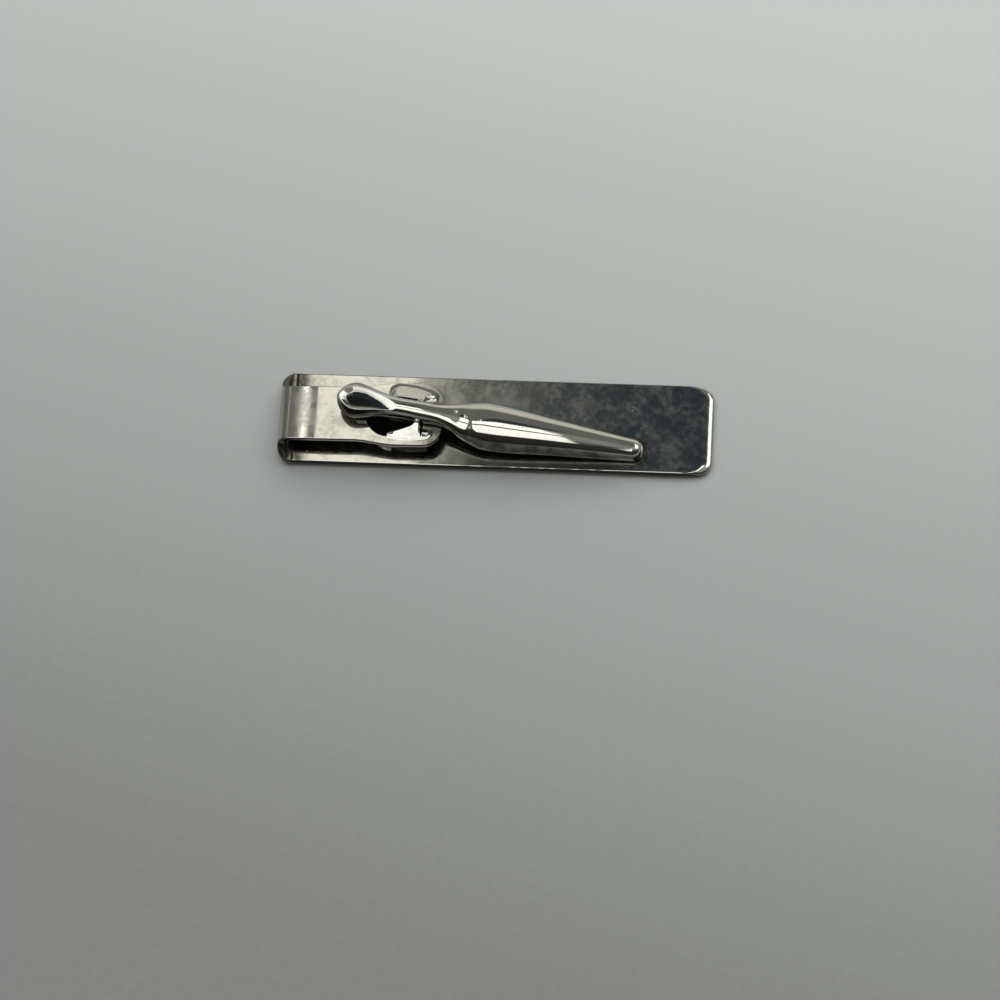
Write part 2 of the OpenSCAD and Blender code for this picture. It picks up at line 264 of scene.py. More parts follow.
@dataclass
class FoldedSheet:
    """The clip's one folded stamping: front bar, fold, back strap, eye and two ears.

    A place on the flat blank is (s, v): s runs from the bar's free end round the fold to the
    end of the strap, and v across. All sizes are in millimetres. A span is where something
    starts to change and where it has changed fully.
    """

    hinge: HingeFrame
    low: np.ndarray
    high: np.ndarray
    sheet_t: float = 0.8
    edge_depth: float = 0.1
    end_depth: float = 0.85
    end_blend: Span = (0.3, 3.2)
    end_waves: tuple[tuple[float, float, float], ...] = ((0.05, 3.1, 0.0), (0.03, 7.3, 1.0))
    eye_depth: float = 0.05
    edge_reach: float = 0.45
    wide_edge_share: float = 0.8
    # The cut edges' middles carry painted shade, which fades out at these turns.
    unshaded_turns: tuple[float, float] = (86.0, 26.0)
    shade_fades: tuple[float, float] = (10.0, 20.0)
    edge_shade: float = 1.2
    corner_r: float = 1.7
    fold_height: float = 3.6
    fold_ease_in: float = 0.25
    fold_ease_out: float = 0.4
    spring_back: float = math.radians(1.12)
    spring_back_run: float = 2.3
    last_kick: float = math.radians(2.4)
    last_kick_run: float = 0.5
    kick_blend: float = 0.1
    fold_tries: int = 12
    fold_samples: int = 2400
    shoulder_start: float = 0.8
    shoulder_end: float = 3.3
    strap_width: float = 6.5
    strap_skew: float = math.radians(0.8)
    head_width: float = 7.6
    head_start: float = -7.6
    head_full: float = -2.6
    head_end: float = 2.7
    head_corner_r: float = 2.3
    eye_width: float = 5.5
    far_eye: float = 1.45
    eye_back: float = -6.2
    eye_front: float = 0.62
    eye_corner: float = 0.2
    eye_split: int = 42
    eye_passes: int = 3
    cross_line: float = -7.6
    ear_tip_r: float = 0.48
    ear_tip_v: float = 1.78
    ear_back: float = 3.4
    ear_front: float = 0.6
    tip_turns: tuple[float, float] = (195.0, 345.0)
    tab_powers: tuple[float, float] = (1.4, 2.4)
    rise_start: float = 3.5
    rise_run: float = 0.6
    rise_angle: float = math.radians(30.0)
    rise_bow: float = 0.05
    rise_middle: float = -1.9
    rise_close: Span = (0.6, 1.1)
    rise_behind: Span = (-3.9, -2.4)
    rise_ahead: Span = (1.9, 0.6)
    notch_ahead: Span = (0.25, 0.62)
    notch_aside: Span = (2.5, 1.7)
    # Where painted shade falls on the sheet's inner face: under the lever, beside its near side,
    # under the strap and head, and in the fold.
    lever_plan: tuple[tuple[float, ...], tuple[float, ...]] = (
        (-9.4, -7.0, -4.3, 0.0, 7.9, 25.9), (0.0, 2.1, 1.4, 1.2, 2.8, 1.3),
    )
    lever_fade: Span = (-0.1, 0.7)
    nose_fade: Span = (26.6, 25.9)
    beside_dark: float = 0.9
    beside_aside: Span = (-2.9, -4.0)
    beside_start: Span = (-7.0, -1.0)
    beside_stop: Span = (17.0, 13.0)
    strap_cover: Span = (2.1, 3.4)
    head_cover: Span = (3.0, 4.2)
    head_cover_start: Span = (-15.5, -13.0)
    head_cover_stop: Span = (-7.5, -4.5)
    fold_dark: Span = (-1.8, -0.5)
    # Painted shade on the head's outer face close under the lever's neck.
    neck_shade: float = 0.85
    neck_shade_start: Span = (0.3, 1.1)
    neck_shade_near: Span = (-2.7, -1.8)
    neck_shade_far: Span = (2.2, 1.4)
    stretch_counts: tuple[int, int, int] = (20, 67, 41)
    columns: int = 37
    rings: int = 30
    edge_steps: int = 15

    def __post_init__(self) -> None:
        """Works out the places that follow from the sizes."""
        self.free_x = self.high[0]
        self.half_bar = (self.high[1] - self.low[1]) / 2.0
        self.strap_mid_z = self.fold_height - self.sheet_t / 2.0
        self.line_s, self.line_x, self.line_z, self.line_angle = self.fold_line()
        self.bar_run = self.free_x - self.low[0] - self.sheet_t / 2.0 - self.line_x.max()
        self.fold_run = self.line_s[-1]
        past_pin = self.hinge.centre[0] - self.free_x + self.bar_run + self.line_x[-1]
        self.pin_s = self.bar_run + self.fold_run + past_pin
        self.slope = math.tan(self.strap_skew)
        self.root_y = self.hinge.centre[1] - past_pin * self.slope
        self.across_share = self.spread(self.columns)

    @staticmethod
    def spread(count: int) -> np.ndarray:
        """Shares from 0 to 1 for a patch's grid lines, with one close to either edge."""
        inner = np.linspace(0.03, 0.97, count - 4)
        return np.concatenate([[0.0, 0.006], inner, [0.994, 1.0]])

    def fold_line(self) -> tuple[np.ndarray, np.ndarray, np.ndarray, np.ndarray]:
        """The sheet's middle line round the fold.

        Returns:
            Length along it, how far it has gone towards the closed end, its height, and the
            angle that it has turned. Its bend rises evenly to a full value, stays there, falls
            to the slight bow that the strap springs back to, and ends with a short firmer one.
            The full bend is found by trying: the line has to end level at the strap's height.
        """
        lift = self.strap_mid_z - self.sheet_t / 2.0
        tight = 2.0 / lift
        bow = self.spring_back
        for _ in range(self.fold_tries):
            eased = tight * (self.fold_ease_in + self.fold_ease_out) / 2.0
            bowed = bow * self.spring_back_run + self.last_kick * self.last_kick_run
            run = (math.pi - eased - bowed) / tight
            knots = np.cumsum([0.0, self.fold_ease_in, run, self.fold_ease_out,
                               self.spring_back_run, self.kick_blend,
                               self.last_kick_run, self.kick_blend])
            s = np.linspace(0.0, knots[-1], self.fold_samples)
            kick = self.last_kick
            bend = np.interp(s, knots, [0.0, tight, tight, bow, bow, kick, kick, 0.0])
            step = s[1]
            angle = (np.cumsum(bend) - (bend + bend[0]) / 2.0) * step
            angle *= math.pi / angle[-1]
            gone, height = (
                (np.cumsum(wave) - (wave + wave[0]) / 2.0) * step
                for wave in (np.cos(angle), np.sin(angle))
            )
            tight *= height[-1] / lift
        return s, gone, height + self.sheet_t / 2.0, angle

    def half_width(self, s: np.ndarray) -> np.ndarray:
        """Half the blank's width: full along the bar, drawn in to the strap's on the fold."""
        share = smooth(self.shoulder_start, self.shoulder_end, s - self.bar_run)
        return mixed(self.half_bar, self.strap_width / 2.0, share)

    def long_edge(self) -> tuple[np.ndarray, np.ndarray]:
        """The far edge of the blank from the free end to the cross line on the strap.

        Returns:
            Points (s, v) and their outward normals. The free end's corner is a quarter circle.
        """
        r = self.corner_r
        turn = np.radians(np.linspace(0.0, 90.0, 12))
        corner = np.stack([r - r * np.cos(turn), self.half_bar - r + r * np.sin(turn)], axis=1)
        end = self.pin_s + self.cross_line
        s = np.concatenate([
            np.linspace(r, self.bar_run, 72)[1:],
            np.linspace(self.bar_run, self.bar_run + self.fold_run, 48)[1:],
            np.linspace(self.bar_run + self.fold_run, end, 16)[1:],
        ])
        edge = np.concatenate([corner, np.stack([s, self.half_width(s)], axis=1)])
        normals = left_normals(edge, closed=False)
        normals[: len(corner)] = np.stack([-np.cos(turn), np.sin(turn)], axis=1)
        normals[-1] = (0.0, 1.0)
        return edge, normals

    def head_edge(self) -> list[np.ndarray]:
        """The far half of the head's outline, in three stretches.

        Returns:
            Points (u, v) from the pin: to the ear's back foot, along the ear, and on round the
            head's corner, an arc, to the middle of its end.
        """
        half, r, end = self.head_width / 2.0, self.head_corner_r, self.head_end
        u = np.linspace(self.cross_line, end - r, 120)
        side = mixed(self.strap_width / 2.0, half, smooth(self.head_start, self.head_full, u))
        turn = np.radians(np.linspace(90.0, 0.0, 40))
        corner = np.stack([end - r + r * np.cos(turn), half - r + r * np.sin(turn)], axis=1)
        line = np.concatenate([np.stack([u, side], axis=1), corner[1:], [[end, 0.0]]])
        line = resampled(line, 600)
        back = int(np.argmin(np.abs(line[:300, 0] + self.ear_back)))
        front = int(np.argmax(line[:, 0] > self.ear_front))
        return [line[: back + 1], line[back : front + 1], line[front:]]

    def eye_edge(self, side: int) -> list[np.ndarray]:
        """Half of the eye's outline with its ear laid flat, in four stretches.

        Args:
            side: 1 for the far half and -1 for the near half.

        Returns:
            Points (u, v) from the pin: the back arc that faces the fold, the rest of it up to
            the ear's back foot, the ear's tab, and on to the middle of the eye's front end.
            The tab's two sides leave the eye's edge level and steepen to an arc round its tip:
            the way down is 1 less a power of the share that is left, 1.4 behind and 2.4 ahead.
            The eye is an ellipse, narrower on the far side, where the tab is cut off straight.
        """
        r = self.eye_width / 2.0
        wide = self.far_eye if side > 0 else r
        centre_u = self.eye_back + r
        turn = np.radians(np.linspace(180.0, 90.0, 60))
        arc = np.stack([centre_u + r * np.cos(turn), side * wide * np.sin(turn)], axis=1)
        split = self.eye_split
        tip = np.radians(np.linspace(*self.tip_turns, 30))
        tip = self.ear_tip_r * np.stack([np.cos(tip), np.sin(tip)], axis=1)
        tip = tip + (0.0, self.ear_tip_v) if side < 0 else tip * (1.0, 0.0) + (0.0, wide)
        share = np.linspace(0.0, 1.0, 30)[1:]
        ends = zip((tip[0], tip[-1]), (-self.ear_back, self.ear_front), self.tab_powers)
        back, ahead = (
            np.stack([
                mixed(start[0], root, share),
                mixed(start[1], wide, 1.0 - (1.0 - share) ** power),
            ], axis=1)
            for start, root, power in ends
        )
        corner = [[self.eye_front, wide - self.eye_corner], [self.eye_front, 0.0]]
        tab = self.lever_to_strap(np.concatenate([back[::-1], tip, ahead]) * (1.0, side))
        front = np.concatenate([tab[-1:], self.lever_to_strap(np.array(corner) * (1.0, side))])
        return [arc[: split + 1], np.concatenate([arc[split:], tab[:1]]), tab, front]

    def lever_to_strap(self, place: np.ndarray) -> np.ndarray:
        """Turns flat places square to the lever into places square to the strap."""
        c, s = math.cos(self.hinge.turn), math.sin(self.hinge.turn)
        x = place[:, 0] * c + place[:, 1] * s
        y = place[:, 1] * c - place[:, 0] * s
        return np.stack([x, y - self.slope * x], axis=1)

    def head_loops(self) -> tuple[np.ndarray, np.ndarray]:
        """Matching closed loops round the head and round its eye.

        Returns:
            The outer and the inner loop as (s, v). They start at the near end of the cross
            line, cross the strap, and go on by the far side, the end and the near side.
        """
        half = self.strap_width / 2.0 - self.edge_depth
        across = np.stack([
            np.full(self.columns, self.cross_line),
            mixed(-half, half, self.across_share),
        ], axis=1)
        counts = self.stretch_counts
        outer_half = [resampled(part, n) for part, n in zip(self.head_edge(), counts)]
        outer_half = np.concatenate([part[1:] for part in outer_half])
        far = self.eye_edge(1)
        near = self.eye_edge(-1)
        back = resampled(np.concatenate([near[0][::-1], far[0][1:]]), self.columns)
        far_half = np.concatenate([resampled(p, n)[1:] for p, n in zip(far[1:], counts)])
        near_half = np.concatenate([resampled(p, n)[1:] for p, n in zip(near[1:], counts)])
        mirrored = outer_half * (1.0, -1.0)
        outer = np.concatenate([across, outer_half, mirrored[:-1][::-1]])
        inner = np.concatenate([back, far_half, near_half[:-1][::-1]])
        shift = np.array([self.pin_s, 0.0])
        return outer + shift, rounded(inner, self.eye_passes) + shift

    def formed(self, blank: np.ndarray, lift: np.ndarray) -> np.ndarray:
        """Folds the flat blank and presses up its ears.

        Args:
            blank: Places (s, v) on the flat blank.
            lift: Height over the sheet's middle, towards its outer face.

        Returns:
            Places x, y and z. The middle line follows the fold, and the lift goes square to it.
        """
        s, v = blank[..., 0] - self.bar_run, blank[..., 1]
        angle = np.interp(s, self.line_s, self.line_angle)
        past = np.maximum(s - self.fold_run, 0.0)
        gone = np.minimum(s, 0.0) + np.interp(s, self.line_s, self.line_x) - past
        x = self.free_x - self.bar_run - gone - lift * np.sin(angle)
        y = v + self.root_y * smooth(0.0, math.pi, angle) + self.slope * past
        z = np.interp(s, self.line_s, self.line_z) - lift * np.cos(angle)
        place = np.stack([x, y, z], axis=-1)
        u, across, _ = np.moveaxis(self.hinge.to_lever(place), -1, 0)
        place[..., 2] += self.pressed(u, across) * (blank[..., 0] > self.pin_s + self.cross_line)
        return place

    def pressed(self, u: np.ndarray, v: np.ndarray) -> np.ndarray:
        """How far the press has raised the head.

        Args:
            u: Places along the lever from the pin.
            v: Places across it.

        Returns:
            The rise from either rim to the ear's tip. Its slope grows smoothly to the full one,
            and its height is the sum of the slope: t cubed less half of t to the fourth. It
            fades out behind the ear, more steeply ahead of it, and soonest close to the lever.
        """
        aside = np.abs(v)
        way_in = self.rise_start - aside - self.rise_bow * (u - self.rise_middle) ** 2
        way_in = np.maximum(way_in, 0.0)
        t = np.minimum(way_in / self.rise_run, 1.0)
        rise = self.rise_run * (t**3 - t**4 / 2.0) + np.maximum(way_in - self.rise_run, 0.0)
        rise *= math.tan(self.rise_angle) * smooth(*self.rise_close, aside)
        rise *= smooth(*self.rise_behind, u) * smooth(*self.rise_ahead, u)
        return rise * (1.0 - smooth(*self.notch_ahead, u) * smooth(*self.notch_aside, aside))

    def edge_inset(self, loop: np.ndarray, lanced: bool) -> np.ndarray:
        """How deep the rounding of a cut edge goes.

        Args:
            loop: Places (s, v) along the edge.
            lanced: Whether it is the crisp edge of the eye.

        Returns:
            The usual depth, more at the bar's free end, where it is polished down unevenly: two
            sine waves across the bar are added. The eye's edge has its own depth.
        """
        if lanced:
            return np.full(len(loop), self.eye_depth)
        s, v = loop[..., 0], loop[..., 1]
        waves = sum(size * np.sin(rate * v + start) for size, rate, start in self.end_waves)
        return mixed(self.end_depth * (1.0 + waves), self.edge_depth, smooth(*self.end_blend, s))

    def edge_strip(self, loop: np.ndarray, outward: np.ndarray, lanced: bool) -> Surface:
        """The rounded edge along a closed loop of the blank.

        Args:
            loop: Places (s, v) along the edge.
            outward: Unit normals out of the metal.
            lanced: Whether it is the crisp edge of the eye.

        Returns:
            Half an ellipse at each place, as deep as the edge's rounding and as high as the
            sheet, carried along the loop. Its middle is darkened with painted shade, fading out
            towards both faces.
        """
        turn = np.radians(np.linspace(90.0, -90.0, self.edge_steps))[:, None]
        depth = self.edge_inset(loop, lanced)
        inset = -depth * (1.0 - np.cos(turn))
        blank = loop[None] + outward[None] * inset[..., None]
        lift = np.sin(turn) * self.sheet_t / 2.0 * np.ones(len(loop))
        edge = np.ones(blank.shape[:2])
        # Painted shade across the middle of the cut edge.
        wide = smooth(self.edge_depth, self.wide_edge_share * self.end_depth, depth)
        unshaded = mixed(*self.unshaded_turns, wide)
        dark = smooth(unshaded, unshaded - mixed(*self.shade_fades, wide), np.degrees(np.abs(turn)))
        dark = self.edge_shade * dark
        return Surface.from_grid(self.formed(blank, lift), blank, edge, dark, wrap_columns=True)

    def faces_of(self, blank: np.ndarray, distance: np.ndarray, wrap: bool) -> list[Surface]:
        """The sheet's outer and inner face over one patch of the blank.

        Args:
            blank: Places (s, v) in rows and columns.
            distance: How far each is from the nearest cut edge.
            wrap: Whether the last column runs on to the first.

        Returns:
            The outer face and the inner face.
        """
        edge = np.exp(-distance / self.edge_reach)
        half = self.sheet_t / 2.0
        faces = []
        for lift in (half, -half):
            place = self.formed(blank, np.full(blank.shape[:2], lift))
            # Painted shade: the inner face is darkened in the fold and under the strap, head and
            # lever, the outer face close under the lever's neck.
            shade_values = self.painted_inner_shade(place, blank) if lift < 0.0 else self.shaded(place, blank)
            faces.append(Surface.from_grid(place, blank, edge, shade_values, wrap_columns=wrap))
        return faces

    def painted_inner_shade(self, place: np.ndarray, blank: np.ndarray) -> np.ndarray:
        """How much painted shade darkens the sheet's inner face.

        Args:
            place: Where the face's places are on the clip.
            blank: Where they are on the blank.

        Returns:
            Painted shade: 1 in the fold and under the strap. On the bar it is 1 under the strap,
                the
            head and the lever, and fades out towards their edges. Beside the lever's near side it
            is
            0.9, a painted shadow and dark reflection of the lever.
        """
        x, y = place[..., 0], place[..., 1]
        u, v, _ = np.moveaxis(self.hinge.to_lever(place), -1, 0)
        half = np.interp(u, *self.lever_plan)
        under = (1.0 - smooth(*self.lever_fade, np.abs(v) - half)) * smooth(*self.nose_fade, u)
        beside = self.beside_dark * smooth(*self.beside_aside, y)
        beside *= smooth(*self.beside_start, x) * smooth(*self.beside_stop, x)
        middle = self.root_y + (x - self.low[0]) * self.slope
        wider = smooth(*self.head_cover_start, x)
        fade = (mixed(a, b, wider) for a, b in zip(self.strap_cover, self.head_cover))
        cover = 1.0 - smooth(*fade, np.abs(y - middle))
        cover *= 1.0 - smooth(*self.head_cover_stop, x)
        cover = np.maximum(np.maximum(cover, under), beside)
        return np.maximum(cover, smooth(*self.fold_dark, blank[..., 0] - self.bar_run))

    def shaded(self, place: np.ndarray, blank: np.ndarray) -> np.ndarray:
        """Painted shade on the head's outer face, ahead of the eye and close under the lever's
        neck, standing for the lever's shadow and dark reflection.
        """
        u, v, _ = np.moveaxis(self.hinge.to_lever(place), -1, 0)
        head = smooth(-1.0, 0.0, blank[..., 0] - self.pin_s)
        close = smooth(*self.neck_shade_near, v) * smooth(*self.neck_shade_far, v)
        return self.neck_shade * head * smooth(*self.neck_shade_start, u) * close

    def surface(self) -> Surface:
        """The whole stamping as one closed surface."""
        far, far_normals = self.long_edge()
        mirror = np.array([1.0, -1.0])
        near, near_normals = far * mirror, far_normals * mirror
        depth = self.edge_inset(far, lanced=False)[:, None]
        far_in, near_in = far - far_normals * depth, near - near_normals * depth
        share = self.across_share[None, :, None]
        body = mixed(near_in[:, None], far_in[:, None], share)
        to_edge = np.minimum(far[:, 1:2] - np.abs(body[..., 1]), body[..., 0])
        outer, inner = self.head_loops()
        first = self.columns - 1
        rim = np.concatenate([far[-1:], outer[first + 1 :], near[-1:]])
        rim_normals = left_normals(rim, closed=False)
        rim_normals[0], rim_normals[-1] = (0.0, 1.0), (0.0, -1.0)
        outer_in = outer.copy()
        outer_in[first + 1 :] -= rim_normals[1:-1] * self.edge_depth
        outer_in[: self.columns] = body[-1]
        into_eye = -left_normals(inner, closed=True)
        inner_in = inner - into_eye * self.eye_depth
        part = self.spread(self.rings)[:, None, None]
        head = mixed(outer_in[None], inner_in[None], part)
        span = np.linalg.norm(outer_in - inner_in, axis=1)
        to_rim = np.minimum(part[..., 0], 1.0 - part[..., 0]) * span
        to_rim[:, : self.columns] = ((1.0 - part[..., 0]) * span)[:, : self.columns]
        end_row = np.stack([np.zeros(self.columns - 2), body[0, 1:-1, 1]], axis=1)
        end_normals = np.tile((-1.0, 0.0), (self.columns - 2, 1))
        loop = np.concatenate([near[::-1], end_row, far, rim[1:-1]])
        outward = np.concatenate([near_normals[::-1], end_normals, far_normals, rim_normals[1:-1]])
        return self.edge_strip(loop, outward, lanced=False).with_others(
            self.edge_strip(inner, into_eye, lanced=True),
            *self.faces_of(body, to_edge, wrap=False),
            *self.faces_of(head, to_rim, wrap=True),
        )

    def build(self) -> bpy.types.Object:
        """Makes the stamping in place of its plain solid."""
        piece = self.surface().to_object("folded_sheet")
        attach(piece, "body")
        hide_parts("clip_body")
        return piece


@dataclass
class PressedLever:
    """The rocking lever: thumb pad, neck, saddle and tapering body, pressed from thin sheet.

    Places along it are measured from the pin, heights from the pin's axis, in millimetres.
    """

    hinge: HingeFrame
    tail: float = 9.4
    nose: float = 25.9
    wall: float = 0.45
    pad_length: float = 4.6
    pad_width: float = 4.2
    neck_width: float = 2.4
    saddle_at: float = 5.2
    saddle_width: float = 4.3
    body_at: float = 7.9
    body_width: float = 5.6
    nose_width: float = 2.6
    pad_top: float = 1.9
    pad_rim: float = 0.5
    neck_top: float = 1.2
    neck_rim: float = -0.85
    saddle_top: float = 0.25
    body_top: float = 0.45
    body_drop: float = 2.6
    nose_top: float = -1.8
    nose_rim: float = -3.8
    arch_top: float = 2.15
    dish_floor: float = 1.52
    dish_fall: float = 0.063
    dish_blend: float = 0.06
    back_leans: tuple[float, ...] = (-1.0, 0.0, 1.0)
    back_slopes: tuple[float, ...] = (0.5, 0.35, 0.37)
    back_starts: tuple[float, ...] = (1.0, 1.15, 0.85)
    far_slope: float = 0.37
    far_line: tuple[tuple[float, ...], tuple[float, ...]] = (
        (-7.1, -6.1, -4.34, 30.0), (0.85, 0.8, 0.1, -20.5),
    )
    near_slope: float = 0.5
    near_line: tuple[tuple[float, ...], tuple[float, ...]] = (
        (-7.1, -5.0, -3.4), (1.0, 0.82, 0.9),
    )
    ridge_round: float = 0.025
    swell: float = 0.075
    swell_start: Span = (5.7, 6.5)
    swell_stop: Span = (9.2, 6.7)
    swell_aside: Span = (0.5, -0.5)
    cap_powers: tuple[float, float] = (5.0, 2.6)
    girth: float = 16.0
    rim_wear: float = 0.4
    # Painted shade on the lever's lower flanks, more on the near side.
    far_flank_shade: float = 0.85
    far_crown: Span = (0.4, 0.9)
    near_crown: Span = (0.58, 0.86)
    near_side: Span = (0.2, -0.2)
    cap_rings: int = 22
    run_marks: tuple[float, ...] = (-2.2, 4.4, 7.8)
    run_counts: tuple[int, ...] = (52, 22, 36, 46)
    arc_steps: int = 104
    bead_steps: int = 6

    def __post_init__(self) -> None:
        """Sets out the stations: place, half width, crown, rim and how square the arch is."""
        waist = mixed(self.neck_rim, self.pad_rim, 0.72)
        flare = mixed(self.neck_rim, -self.body_drop, 0.12)
        middle = mixed(self.body_at, self.nose, 0.47)
        self.stations = np.array([
            [-self.tail, self.pad_width / 2, self.arch_top, self.pad_rim, 1.7],
            [self.pad_length / 2 - self.tail, self.pad_width / 2, self.arch_top,
             self.pad_rim, 1.7],
            [-0.46 * self.tail, mixed(self.neck_width, self.pad_width, 0.24) / 2,
             mixed(self.neck_top, self.pad_top, 0.84), waist, 2.1],
            [-0.24 * self.tail, self.neck_width / 2,
             mixed(self.neck_top, self.pad_top, 0.42), self.neck_rim, 2.4],
            [0.0, self.neck_width / 2, self.neck_top, self.neck_rim, 2.4],
            [0.45 * self.saddle_at, self.neck_width / 2,
             mixed(self.neck_top, self.saddle_top, 0.42), self.neck_rim, 2.3],
            [0.74 * self.saddle_at, mixed(self.neck_width, self.saddle_width, 0.37) / 2,
             mixed(self.saddle_top, self.neck_top, 0.27), flare, 2.2],
            [self.saddle_at, self.saddle_width / 2, self.saddle_top,
             mixed(self.neck_rim, -self.body_drop, 0.55), 2.2],
            [self.body_at, self.body_width / 2, self.body_top, -self.body_drop, 2.2],
            [middle, mixed(self.body_width, self.nose_width, 0.48) / 2,
             mixed(self.body_top, self.nose_top, 0.42),
             mixed(-self.body_drop, self.nose_rim, 0.47), 2.2],
            [self.nose - self.nose_width / 2, self.nose_width / 2, self.nose_top,
             self.nose_rim, 2.3],
            [self.nose, self.nose_width / 2, self.nose_top, self.nose_rim, 2.3],
        ])

    def shape_at(self, u: np.ndarray) -> np.ndarray:
        """The station's values at any place.

        Args:
            u: Places along the lever.

        Returns:
            Half width, crown, rim and squareness, one row each. Between two stations each runs
            on a cubic whose slopes at both ends are those between the stations either side.
        """
        at = self.stations[:, 0]
        values = self.stations[:, 1:]
        slopes = np.zeros_like(values)
        slopes[1:-1] = (values[2:] - values[:-2]) / (at[2:] - at[:-2])[:, None]
        i = np.clip(np.searchsorted(at, u, side="right") - 1, 0, len(at) - 2)
        run = (at[i + 1] - at[i])[:, None]
        t = ((u - at[i])[:, None]) / run
        return (
            (2 * t**3 - 3 * t**2 + 1) * values[i]
            + (t**3 - 2 * t**2 + t) * slopes[i] * run
            + (3 * t**2 - 2 * t**3) * values[i + 1]
            + (t**3 - t**2) * slopes[i + 1] * run
        ).T

    def ring_places(self) -> tuple[np.ndarray, np.ndarray, np.ndarray]:
        """Places of the rings and how far each is from the closed ends.

        Returns:
            Places along the lever, and two shares that are 0 at both tips and 1 between the
            end caps. The width's share follows a quarter circle on a cap. The height's share
            follows a squarer curve: the fifth root of 1 less the fifth power of the way to the
            tip at the thumb's end, and the same with 2.6 for 5 at the nose.
        """
        back = self.pad_length / 2.0
        front = self.nose_width / 2.0
        turn = np.radians(np.linspace(0.0, 90.0, self.cap_rings))
        marks = (back - self.tail, *self.run_marks, self.nose - front)
        run = np.concatenate([np.linspace(a, b, n, endpoint=False)
                              for a, b, n in zip(marks, marks[1:], self.run_counts)])[1:]
        places = np.concatenate([
            back * (1.0 - np.cos(turn)) - self.tail,
            run,
            self.nose - front * (1.0 - np.cos(turn[::-1])),
        ])
        way = np.concatenate([np.cos(turn), np.zeros(len(run)), np.cos(turn[::-1])])
        way[[0, -1]] = 1.0
        power = np.where(places < 0.0, *self.cap_powers)
        return places, np.sqrt(1.0 - way**2), (1.0 - way**power) ** (1.0 / power)

    def dish(self, u: np.ndarray, v: np.ndarray) -> np.ndarray:
        """Height of the thumb's dish, as if it ran on for ever.

        Args:
            u: Places along the lever.
            v: Places across it.

        Returns:
            A floor that falls evenly towards the pin, plus a wall past a distance from the
            dish's middle. Round the back the distance is a radius, and the wall is steepest on
            the near side. Further on, the far wall starts at a line that crosses to the near
            side, so that it also closes the dish's end. Each wall rises as half of d plus the
            root of d squared plus a small square, where d is the way past its start.
        """

        def past(way: np.ndarray) -> np.ndarray:
            """0 well before the start and the way itself well past it."""
            return (np.sqrt(way * way + self.dish_blend**2) + way) / 2.0

        behind = np.minimum(u - self.pad_length / 2.0 + self.tail, 0.0)
        radius = np.maximum(np.hypot(behind, v), 1e-6)
        lean = v / radius
        slope, start = (np.interp(lean, self.back_leans, values)
                        for values in (self.back_slopes, self.back_starts))
        round_back = slope * past(radius - start)
        far_wall = past(v - np.interp(u, *self.far_line))
        near_wall = past(-v - np.interp(u, *self.near_line))
        along = self.far_slope * far_wall + self.near_slope * near_wall
        floor = self.dish_floor - self.dish_fall * (u - self.pad_length / 2.0 + self.tail)
        return floor + np.where(behind < 0.0, round_back, along)

    def dished(self, arch: np.ndarray, u: np.ndarray, v: np.ndarray, depth: float) -> np.ndarray:
        """Presses the thumb's dish into the arch.

        Args:
            arch: Heights of the arch.
            u: Places along the lever.
            v: Places across it.
            depth: How far the skin is set in from the outer one.

        Returns:
            The lower of the arch and the dish, with the ridge between them slightly rounded.
        """
        dish = self.dish(u, v) - depth
        gap = self.ridge_round
        near = np.maximum(gap - np.abs(arch - dish), 0.0) / gap
        return np.minimum(arch, dish) - near * near * gap / 4.0

    def surface(self) -> Surface:
        """The lever's closed skin.

        Returns:
            Each ring is an arch, v = half width times the cosine and w = rise times the sine of
            an angle, both drawn square by a power, then a half-round bead under its rim, a
            smaller arch inside, and the other bead. The crown's near side swells a little
            where the body starts.
        """
        u, wide_cap, high_cap = self.ring_places()
        half, crown, rim, square = self.shape_at(u)
        swell = self.swell * smooth(*self.swell_start, u) * smooth(*self.swell_stop, u)
        base = rim + self.wall / 2.0
        inner_u = np.interp(u, (-self.tail, self.nose),
                            (self.wall - self.tail, self.nose - self.wall))
        angle = np.linspace(0.0, math.pi, self.arc_steps + 1)[None]
        power = 2.0 / square[:, None]
        side = np.sign(np.cos(angle)) * np.abs(np.cos(angle)) ** power
        height = np.abs(np.sin(angle)) ** power

        def arch(along: np.ndarray, depth: float) -> np.ndarray:
            """One arch a ring, set in from the outer skin by a depth."""
            across = ((half - depth) * wide_cap)[:, None] * side
            rise = ((crown - base - depth) * high_cap)[:, None]
            forward = along[:, None] * np.ones_like(side)
            swollen = rise + swell[:, None] * smooth(*self.swell_aside, across)
            top = self.dished(base[:, None] + swollen * height, forward, across, depth)
            return np.stack([forward, across, top], axis=-1)

        outer, inner = arch(u, 0.0), arch(inner_u, self.wall)
        turn = np.linspace(0.0, math.pi, self.bead_steps + 2)[None, 1:-1, None]
        down = np.array([0.0, 0.0, -self.wall / 2.0])

        def bead(start: np.ndarray, end: np.ndarray) -> np.ndarray:
            """Half a circle under the rim from one skin to the other."""
            middle, out = (start + end) / 2.0, (start - end) / 2.0
            return middle[:, None] + out[:, None] * np.cos(turn) + down * np.sin(turn)

        rings = np.concatenate([
            outer,
            bead(outer[:, -1], inner[:, -1]),
            inner[:, ::-1],
            bead(inner[:, 0], outer[:, 0]),
        ], axis=1)
        around = np.linspace(0.0, 1.0, rings.shape[1])
        plan = np.stack(np.broadcast_arrays(u[:, None], around[None] * self.girth), axis=-1)
        above = rings[..., 2] - rim[:, None]
        edge = np.exp(-np.maximum(above - self.wall, 0.0) / self.rim_wear)
        share = above / (crown - rim)[:, None]
